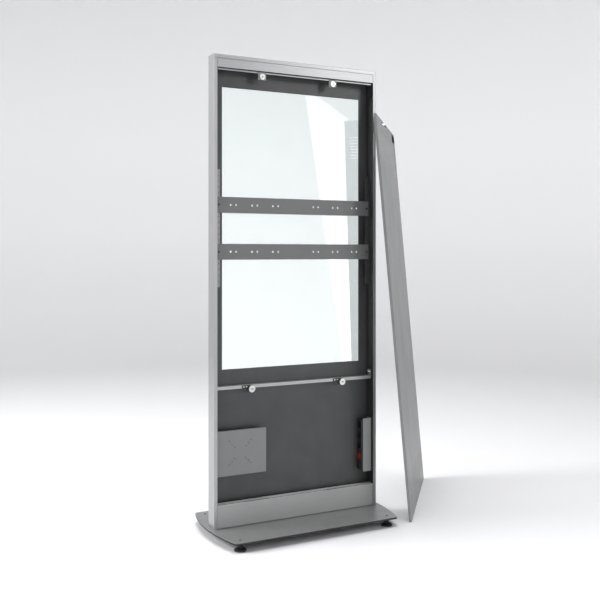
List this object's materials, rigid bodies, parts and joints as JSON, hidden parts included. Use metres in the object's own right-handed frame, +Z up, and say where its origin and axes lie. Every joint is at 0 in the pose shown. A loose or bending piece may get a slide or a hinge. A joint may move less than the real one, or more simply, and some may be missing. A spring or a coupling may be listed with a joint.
{
  "type": "display kiosk housing",
  "caption": "Tall open-back touchscreen kiosk on a bowed base plate with levelling feet; its rear cover is off and leans on one side.",
  "frame": {"origin": "centre of the base plate's underside", "axes": "+Z up, the screen faces -Y, the open service side faces +Y, +X is left as seen from the service side"},
  "size_m": [1.3824, 0.7228, 2.043],
  "materials": {
    "anthracite_coat": "matte",
    "bare_steel": "machined",
    "black_plastic": "matte",
    "black_print": "gloss",
    "black_rubber": "matte",
    "black_steel": "blackened",
    "chrome_plate": "polished",
    "clear_film": "clear",
    "clear_glass": "polished",
    "grey_coat": "satin",
    "nickel_plate": "polished",
    "red_plastic": "gloss",
    "silver_coat": "satin",
    "zinc_steel": "zinc plated"
  },
  "bodies": {
    "housing": {"anchor_block_left": "bare_steel", "anchor_block_right": "bare_steel", "anchor_screws": "zinc_steel", "base_bolts": "zinc_steel", "base_plate": "silver_coat", "catch_screws": "zinc_steel", "corner_bracket_left": "anthracite_coat", "corner_bracket_right": "anthracite_coat", "corner_screws": "black_steel", "crossbar_lower": "grey_coat", "crossbar_nuts": "zinc_steel", "crossbar_screws": "black_steel", "crossbar_upper": "grey_coat", "display_upright_left": "grey_coat", "display_upright_right": "grey_coat", "foot_nuts": "black_steel", "front_glass": "clear_glass", "glass_mask": "black_print", "header_panel": "silver_coat", "kick_panel": "silver_coat", "magnet_mid_left": "nickel_plate", "magnet_mid_right": "nickel_plate", "magnet_screws": "zinc_steel", "magnet_top_left": "nickel_plate", "magnet_top_right": "nickel_plate", "mid_catch_bracket_left": "zinc_steel", "mid_catch_bracket_right": "zinc_steel", "mid_rail": "silver_coat", "mid_rail_screws": "zinc_steel", "pc_plate": "grey_coat", "pc_plate_screws": "zinc_steel", "power_strip": "black_plastic", "power_strip_gland": "black_plastic", "seal_left": "black_rubber", "seal_right": "black_rubber", "seal_top": "black_rubber", "side_profile_left": "silver_coat", "side_profile_right": "silver_coat", "strip_bracket": "grey_coat", "strip_bracket_screws": "zinc_steel", "top_cap": "silver_coat", "top_catch_bracket_left": "zinc_steel", "top_catch_bracket_right": "zinc_steel", "touch_film": "clear_film", "upright_screws": "black_steel"},
    "cover": {"rear_cover": "silver_coat", "cover_edges": "silver_coat", "cover_grip": "black_plastic", "cover_lock_body": "chrome_plate"},
    "lock_plug": {"cover_lock_plug": "black_steel"},
    "rocker": {"power_strip_rocker": "red_plastic"},
    "foot_rear_left": {"foot_rear_left": "black_plastic"},
    "foot_rear_right": {"foot_rear_right": "black_plastic"},
    "foot_front_left": {"foot_front_left": "black_plastic"},
    "foot_front_right": {"foot_front_right": "black_plastic"}
  },
  "joints": [
    {"name": "cover_tip", "type": "hinge", "parent": "housing", "child": "cover", "pos_m": [-0.7096, -0.09, -0.035], "axis": [-0.6369, -0.771, 0], "range_deg": [0, 4.3]},
    {"name": "lock_turn", "type": "hinge", "parent": "cover", "child": "lock_plug", "pos_m": [-0.51277, -0.08139, 1.77815], "axis": [0.768, -0.6345, -0.087], "range_deg": [0, 90]},
    {"name": "rocker_switch", "type": "hinge", "parent": "housing", "child": "rocker", "pos_m": [-0.336, -0.00475, 0.232], "axis": [0, 1, 0], "range_deg": [0, 16]},
    {"name": "foot_rear_left_level", "type": "slide", "parent": "housing", "child": "foot_rear_left", "axis": [0, 0, -1], "range_m": [-0.005, 0.008]},
    {"name": "foot_rear_right_level", "type": "slide", "parent": "housing", "child": "foot_rear_right", "axis": [0, 0, -1], "range_m": [-0.005, 0.008]},
    {"name": "foot_front_left_level", "type": "slide", "parent": "housing", "child": "foot_front_left", "axis": [0, 0, -1], "range_m": [-0.005, 0.008]},
    {"name": "foot_front_right_level", "type": "slide", "parent": "housing", "child": "foot_front_right", "axis": [0, 0, -1], "range_m": [-0.005, 0.008]}
  ]
}
